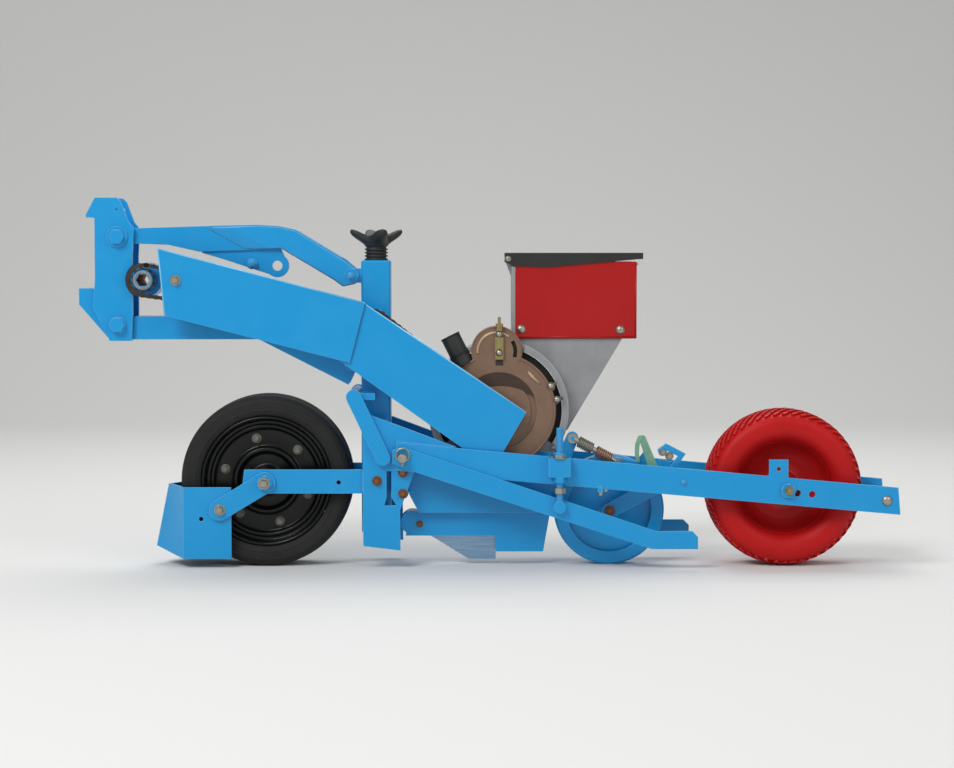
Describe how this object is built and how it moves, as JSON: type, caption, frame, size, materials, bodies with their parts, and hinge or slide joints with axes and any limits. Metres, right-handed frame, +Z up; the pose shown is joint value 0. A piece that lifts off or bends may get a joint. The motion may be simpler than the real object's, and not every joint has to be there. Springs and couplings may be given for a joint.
{
  "type": "precision planter row unit",
  "caption": "Row unit of a precision planter: parallel linkage behind a toolbar headstock, front wheel and clod deflector, furrow shoe, seed meter under a hopper, and a rear press wheel.",
  "frame": {"origin": "on the ground below the middle of the unit's box", "axes": "+X to the rear, -Y to the drive side, +Z up"},
  "size_m": [1.474, 0.22, 0.665],
  "materials": {
    "frame_paint": "gloss",
    "rim_gloss": "gloss",
    "tyre_rubber": "matte",
    "red_paint": "semi gloss",
    "red_rubber": "satin",
    "zinc_steel": "zinc plated",
    "knob_plastic": "moulded",
    "chain_steel": "oiled",
    "grey_cast": "sand cast",
    "bronze_cast": "bronze lacquer on a casting",
    "lever_green": "satin",
    "lid_plastic": "moulded",
    "worn_steel": "worn bright"
  },
  "bodies": {
    "frame": {"column": "frame_paint", "rear_pins": "zinc_steel", "depth_knob": "knob_plastic", "side_plate_near": "frame_paint", "side_plate_far": "frame_paint", "brace_near": "frame_paint", "brace_far": "frame_paint", "front_arm_near": "frame_paint", "front_arm_far": "frame_paint", "front_axle": "zinc_steel", "strap_near": "frame_paint", "strap_far": "frame_paint", "clod_deflector": "frame_paint", "jack_shaft": "zinc_steel", "meter_shaft": "zinc_steel", "rear_chain": "chain_steel", "rear_guard": "frame_paint", "meter_housing": "grey_cast", "meter_cover": "bronze_cast", "meter_latch": "zinc_steel", "air_stub": "knob_plastic", "seed_chamber": "grey_cast", "hopper": "red_paint", "hinge_strip": "grey_cast", "body_plate_near": "frame_paint", "body_plate_far": "frame_paint", "plate_spacers": "frame_paint", "shoe": "frame_paint", "wear_blade": "worn_steel", "seed_tube": "knob_plastic", "rail_near": "frame_paint", "rail_far": "frame_paint", "tail_tube": "frame_paint", "arm_pin": "zinc_steel", "covering_arm_near": "frame_paint", "covering_arm_far": "frame_paint", "adjuster_near": "frame_paint", "adjuster_far": "frame_paint", "press_fork": "frame_paint", "rear_axle": "zinc_steel", "spring_rod": "zinc_steel", "press_lever": "lever_green"},
    "upper_link": {"upper_link": "frame_paint", "latch_hook": "frame_paint"},
    "headstock": {"headstock_near": "frame_paint", "headstock_far": "frame_paint", "clamp_jaw": "frame_paint", "bearing_carrier": "frame_paint", "drive_hub": "frame_paint", "front_pins": "frame_paint"},
    "lower_link": {"lower_link": "frame_paint"},
    "chain_guard": {"chain_arm": "frame_paint", "front_chain": "chain_steel", "front_guard": "frame_paint"},
    "front_wheel": {"front_tyre": "tyre_rubber", "front_rim": "rim_gloss"},
    "press_wheel": {"press_wheel": "frame_paint"},
    "rear_wheel": {"rear_tyre": "red_rubber", "rear_rim": "red_paint"},
    "lid": {"hopper_lid": "lid_plastic"}
  },
  "joints": [
    {"name": "link_swing", "type": "hinge", "parent": "frame", "child": "upper_link", "pos_m": [-0.2465, 0, 0.525], "axis": [0, 1, 0], "range_deg": [-20, 12]},
    {"name": "headstock_level", "type": "hinge", "parent": "upper_link", "child": "headstock", "pos_m": [-0.666, 0, 0.595], "axis": [0, 1, 0], "range_deg": [-12, 20]},
    {"name": "lower_swing", "type": "hinge", "parent": "frame", "child": "lower_link", "pos_m": [-0.2465, 0, 0.367], "axis": [0, 1, 0], "range_deg": [-20, 12]},
    {"name": "guard_swing", "type": "hinge", "parent": "frame", "child": "chain_guard", "pos_m": [-0.1985, 0, 0.447], "axis": [0, 1, 0], "range_deg": [-20, 12]},
    {"name": "front_wheel_spin", "type": "hinge", "parent": "frame", "child": "front_wheel", "pos_m": [-0.4, 0, 0.155], "axis": [0, 1, 0], "continuous": true},
    {"name": "press_wheel_spin", "type": "hinge", "parent": "frame", "child": "press_wheel", "pos_m": [0.22, 0, 0.1], "axis": [0, 1, 0], "continuous": true},
    {"name": "rear_wheel_spin", "type": "hinge", "parent": "frame", "child": "rear_wheel", "pos_m": [0.536, 0, 0.142], "axis": [0, 1, 0], "continuous": true},
    {"name": "lid_hinge", "type": "hinge", "parent": "frame", "child": "lid", "pos_m": [0.0365, 0.045, 0.555], "axis": [0, -1, 0], "range_deg": [0, 100]}
  ],
  "couplings": [
    {"joint": "headstock_level", "follows": "link_swing", "ratio": -1},
    {"joint": "lower_swing", "follows": "link_swing", "ratio": 1},
    {"joint": "guard_swing", "follows": "link_swing", "ratio": 1}
  ]
}
